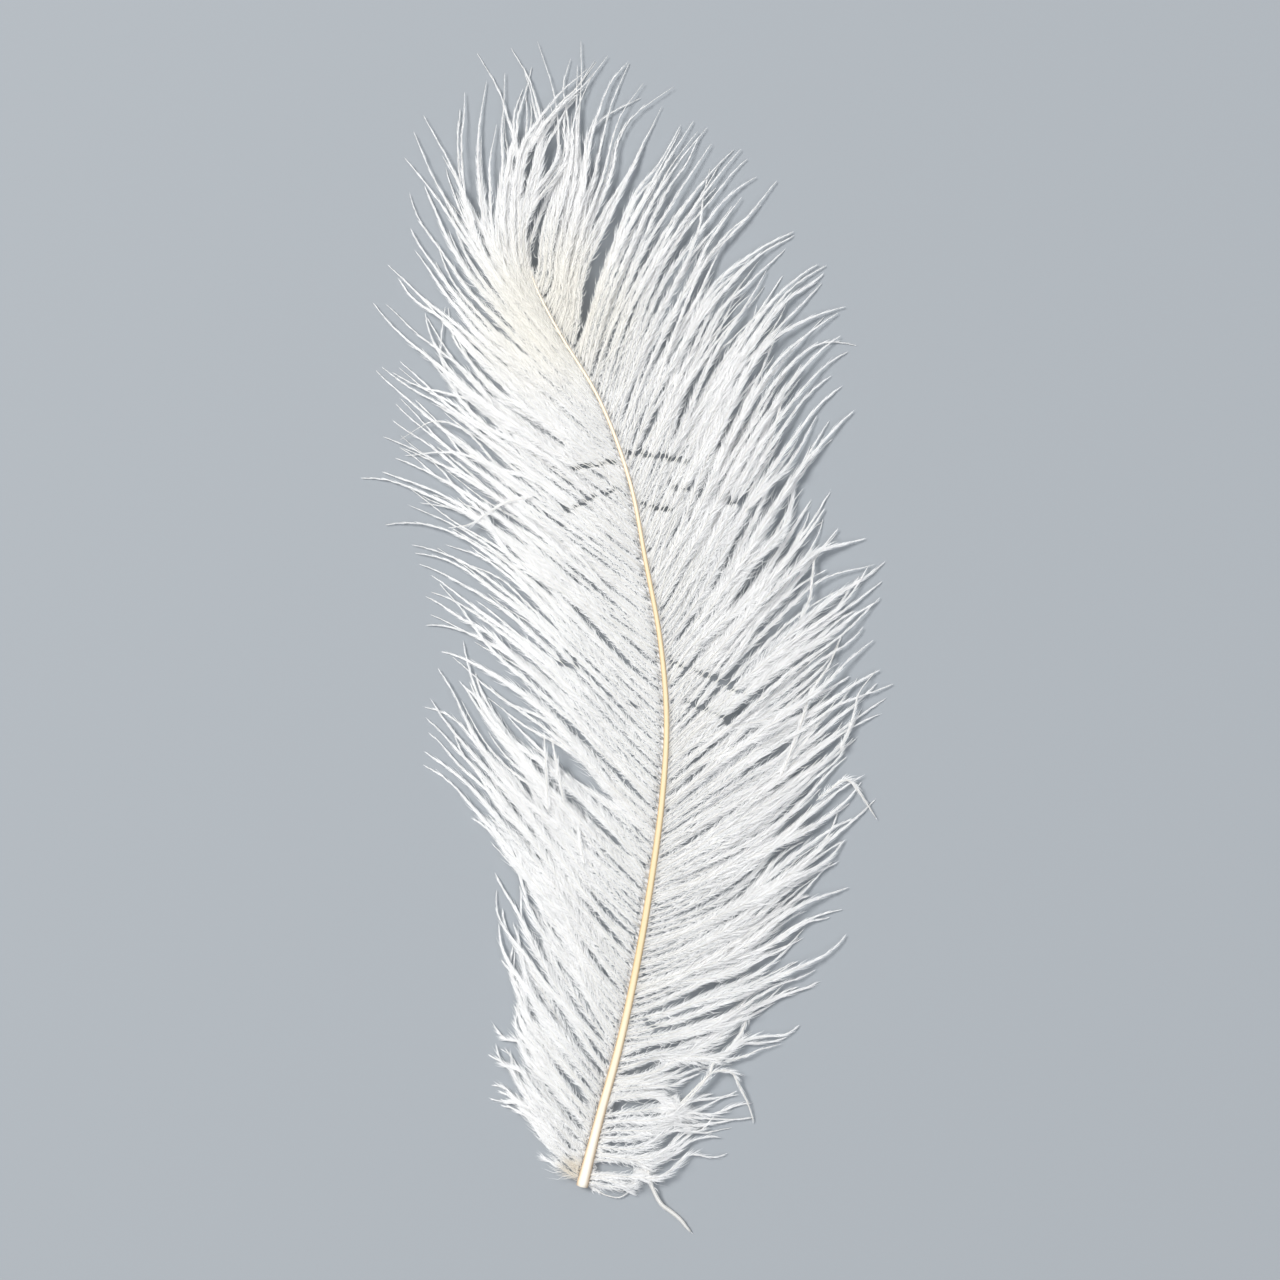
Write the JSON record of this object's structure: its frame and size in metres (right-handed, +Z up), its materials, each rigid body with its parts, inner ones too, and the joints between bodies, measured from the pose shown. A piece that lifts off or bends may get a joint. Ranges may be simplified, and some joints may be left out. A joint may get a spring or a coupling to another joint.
{
  "type": "ostrich feather",
  "caption": "White ostrich plume lying flat: a curved tapering shaft with a long soft row of barbs on each side, gathered in pointed locks.",
  "frame": {"origin": "under the middle of the plume's bounding box, on the surface that it rests on", "axes": "+Y from the cut quill towards the plume's tip, +X to the right seen from above, +Z up"},
  "size_m": [0.16, 0.359, 0.0078],
  "materials": {
    "shaft_keratin": "smooth horn, satin, pale cream",
    "barb_keratin": "soft fine fibres, matt with a faint sheen, white"
  },
  "bodies": {
    "root": {"shaft": "shaft_keratin", "left_vane": "barb_keratin", "right_vane": "barb_keratin"}
  },
  "joints": []
}
